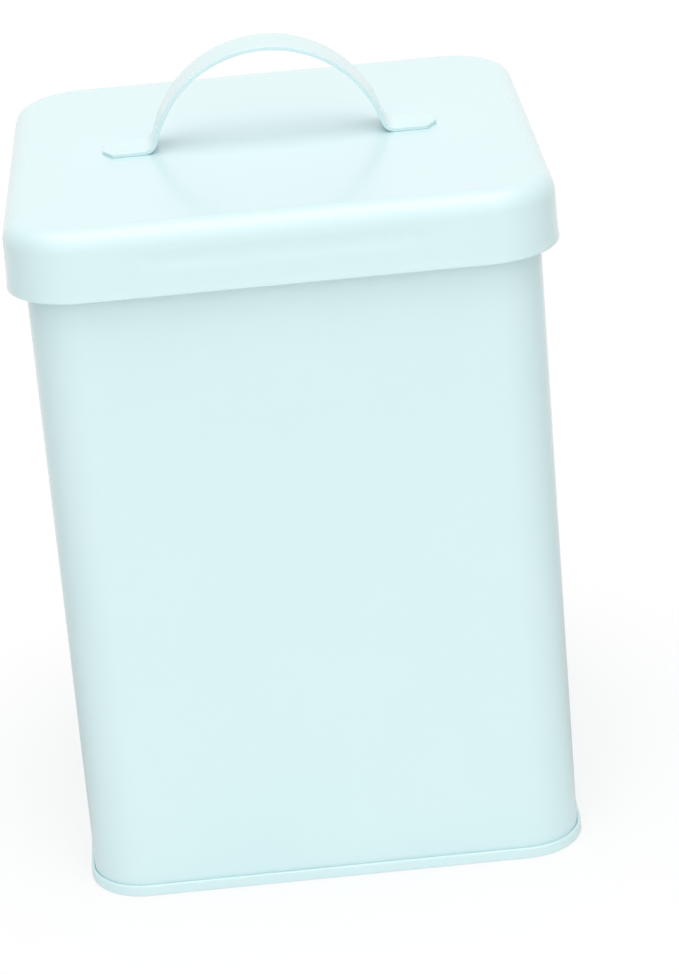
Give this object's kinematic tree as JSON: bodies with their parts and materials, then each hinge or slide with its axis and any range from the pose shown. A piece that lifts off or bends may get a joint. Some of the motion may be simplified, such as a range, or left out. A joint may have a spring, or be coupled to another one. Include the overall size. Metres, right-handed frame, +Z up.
{
  "type": "laundry powder tin",
  "caption": "Square storage tin of thin coated steel sheet with rounded corners, a double-seamed base and a lift-off lid with a strap handle.",
  "frame": {"origin": "middle of the footprint, on the floor that the base seam stands on", "axes": "+Z up towards the lid and handle, -Y towards the front, +X to the right seen from the front; the handle's bow lies in the XZ plane and the wall's lock seam is at the back"},
  "size_m": [0.1528, 0.1528, 0.2319],
  "materials": {
    "mint_coat": "satin powder coat in a pale mint, with a fine orange-peel texture, inside and out"
  },
  "bodies": {
    "tin": {"body_wall": "mint_coat", "base_panel": "mint_coat"},
    "lid": {"lid": "mint_coat", "lid_handle": "mint_coat"}
  },
  "joints": [
    {"name": "lid_lift", "type": "slide", "parent": "tin", "child": "lid", "axis": [0, 0, 1], "range_m": [0, 0.2]}
  ]
}
